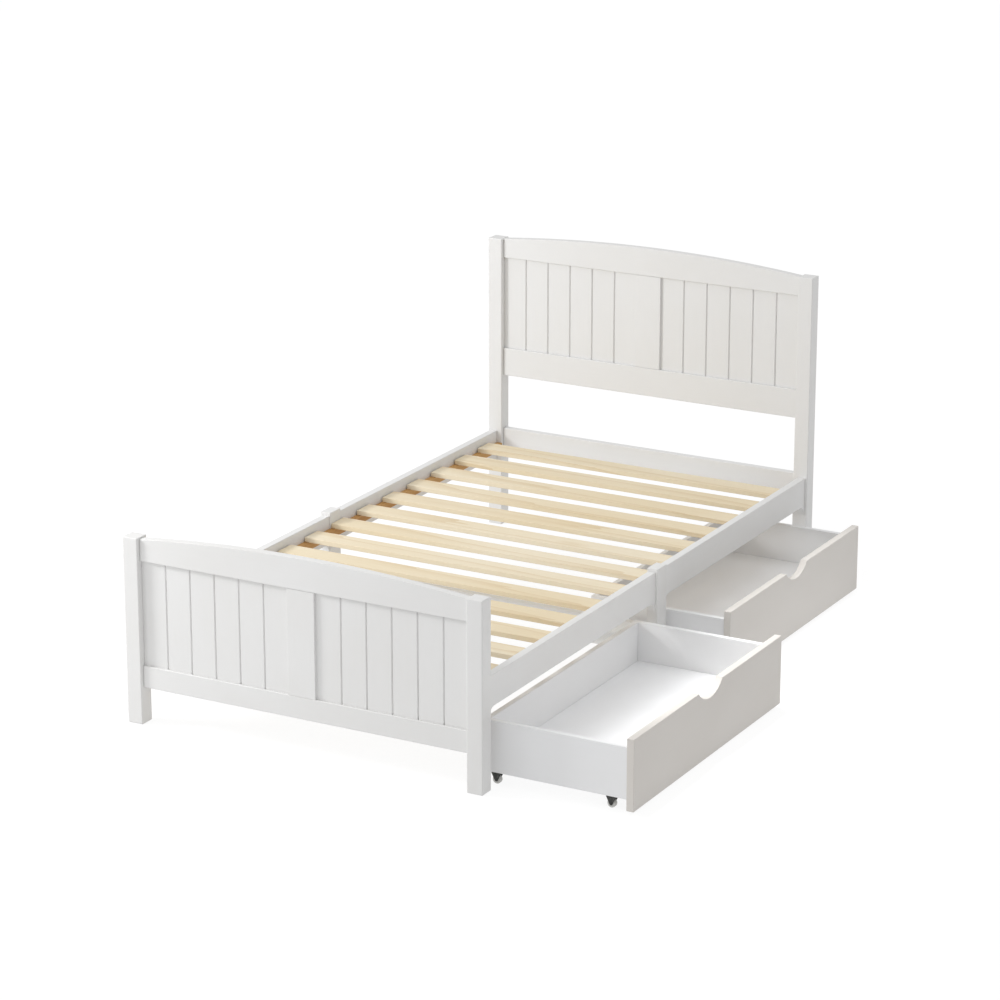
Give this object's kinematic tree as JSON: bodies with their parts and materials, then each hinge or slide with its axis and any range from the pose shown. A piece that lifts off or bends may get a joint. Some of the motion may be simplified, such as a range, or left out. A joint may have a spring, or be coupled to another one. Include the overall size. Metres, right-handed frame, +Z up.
{
  "type": "wooden bed frame with under-bed drawers",
  "caption": "Wooden single bed frame with arched, grooved headboard and footboard, a slatted base and two rolling under-bed drawers.",
  "frame": {"origin": "on the floor, under the middle of the overall box with both drawers drawn out as they rest", "axes": "+Z up; +Y from the footboard to the headboard; +X to the side where the drawers come out"},
  "size_m": [1.4456, 1.984, 0.9205],
  "materials": {
    "white_paint": "satin white paint",
    "white_board": "smooth white-faced board",
    "pine": "bare planed pine",
    "wheel_grey": "moulded",
    "bracket_metal": "dark grey coating"
  },
  "bodies": {
    "bed": {"headboard_post_left": "white_paint", "headboard_post_right": "white_paint", "headboard_top_rail": "white_paint", "headboard_bottom_rail": "white_paint", "headboard_panel": "white_paint", "head_end_rail": "white_paint", "footboard_post_left": "white_paint", "footboard_post_right": "white_paint", "footboard_top_rail": "white_paint", "footboard_bottom_rail": "white_paint", "footboard_panel": "white_paint", "side_rail_left_foot": "white_paint", "side_rail_left_head": "white_paint", "side_rail_right_foot": "white_paint", "side_rail_right_head": "white_paint", "middle_leg_left": "white_paint", "middle_leg_right": "white_paint", "cross_stretcher": "white_paint", "slat_ledger_left": "pine", "slat_ledger_right": "pine", "slat_01": "pine", "slat_02": "pine", "slat_03": "pine", "slat_04": "pine", "slat_05": "pine", "slat_06": "pine", "slat_07": "pine", "slat_08": "pine", "slat_09": "pine", "slat_10": "pine", "slat_11": "pine", "slat_12": "pine", "slat_13": "pine"},
    "foot_drawer": {"foot_drawer_front_panel": "white_paint", "foot_drawer_side_foot": "white_paint", "foot_drawer_side_head": "white_paint", "foot_drawer_back_panel": "white_paint", "foot_drawer_bottom": "white_board", "foot_drawer_caster_bracket_1": "bracket_metal", "foot_drawer_caster_bracket_2": "bracket_metal", "foot_drawer_caster_bracket_3": "bracket_metal", "foot_drawer_caster_bracket_4": "bracket_metal"},
    "foot_drawer_wheel_1": {"foot_drawer_caster_wheel_1": "wheel_grey"},
    "foot_drawer_wheel_2": {"foot_drawer_caster_wheel_2": "wheel_grey"},
    "foot_drawer_wheel_3": {"foot_drawer_caster_wheel_3": "wheel_grey"},
    "foot_drawer_wheel_4": {"foot_drawer_caster_wheel_4": "wheel_grey"},
    "head_drawer": {"head_drawer_front_panel": "white_paint", "head_drawer_side_foot": "white_paint", "head_drawer_side_head": "white_paint", "head_drawer_back_panel": "white_paint", "head_drawer_bottom": "white_board", "head_drawer_caster_bracket_1": "bracket_metal", "head_drawer_caster_bracket_2": "bracket_metal", "head_drawer_caster_bracket_3": "bracket_metal", "head_drawer_caster_bracket_4": "bracket_metal"},
    "head_drawer_wheel_1": {"head_drawer_caster_wheel_1": "wheel_grey"},
    "head_drawer_wheel_2": {"head_drawer_caster_wheel_2": "wheel_grey"},
    "head_drawer_wheel_3": {"head_drawer_caster_wheel_3": "wheel_grey"},
    "head_drawer_wheel_4": {"head_drawer_caster_wheel_4": "wheel_grey"}
  },
  "joints": [
    {"name": "foot_drawer_slide", "type": "slide", "parent": "bed", "child": "foot_drawer", "axis": [1, 0, 0], "range_m": [-0.3926, 0.0594]},
    {"name": "foot_drawer_wheel_1_spin", "type": "hinge", "parent": "foot_drawer", "child": "foot_drawer_wheel_1", "pos_m": [0.6498, -0.897, 0.0115], "axis": [0, 1, 0], "continuous": true},
    {"name": "foot_drawer_wheel_2_spin", "type": "hinge", "parent": "foot_drawer", "child": "foot_drawer_wheel_2", "pos_m": [0.6498, -0.099, 0.0115], "axis": [0, 1, 0], "continuous": true},
    {"name": "foot_drawer_wheel_3_spin", "type": "hinge", "parent": "foot_drawer", "child": "foot_drawer_wheel_3", "pos_m": [0.3278, -0.897, 0.0115], "axis": [0, 1, 0], "continuous": true},
    {"name": "foot_drawer_wheel_4_spin", "type": "hinge", "parent": "foot_drawer", "child": "foot_drawer_wheel_4", "pos_m": [0.3278, -0.099, 0.0115], "axis": [0, 1, 0], "continuous": true},
    {"name": "head_drawer_slide", "type": "slide", "parent": "bed", "child": "head_drawer", "axis": [1, 0, 0], "range_m": [-0.196, 0.256]},
    {"name": "head_drawer_wheel_1_spin", "type": "hinge", "parent": "head_drawer", "child": "head_drawer_wheel_1", "pos_m": [0.4532, 0.0635, 0.0115], "axis": [0, 1, 0], "continuous": true},
    {"name": "head_drawer_wheel_2_spin", "type": "hinge", "parent": "head_drawer", "child": "head_drawer_wheel_2", "pos_m": [0.4532, 0.8615, 0.0115], "axis": [0, 1, 0], "continuous": true},
    {"name": "head_drawer_wheel_3_spin", "type": "hinge", "parent": "head_drawer", "child": "head_drawer_wheel_3", "pos_m": [0.1312, 0.0635, 0.0115], "axis": [0, 1, 0], "continuous": true},
    {"name": "head_drawer_wheel_4_spin", "type": "hinge", "parent": "head_drawer", "child": "head_drawer_wheel_4", "pos_m": [0.1312, 0.8615, 0.0115], "axis": [0, 1, 0], "continuous": true}
  ],
  "couplings": [
    {"joint": "foot_drawer_wheel_1_spin", "follows": "foot_drawer_slide", "rad_per_m": 86.957},
    {"joint": "foot_drawer_wheel_2_spin", "follows": "foot_drawer_slide", "rad_per_m": 86.957},
    {"joint": "foot_drawer_wheel_3_spin", "follows": "foot_drawer_slide", "rad_per_m": 86.957},
    {"joint": "foot_drawer_wheel_4_spin", "follows": "foot_drawer_slide", "rad_per_m": 86.957},
    {"joint": "head_drawer_wheel_1_spin", "follows": "head_drawer_slide", "rad_per_m": 86.957},
    {"joint": "head_drawer_wheel_2_spin", "follows": "head_drawer_slide", "rad_per_m": 86.957},
    {"joint": "head_drawer_wheel_3_spin", "follows": "head_drawer_slide", "rad_per_m": 86.957},
    {"joint": "head_drawer_wheel_4_spin", "follows": "head_drawer_slide", "rad_per_m": 86.957}
  ]
}
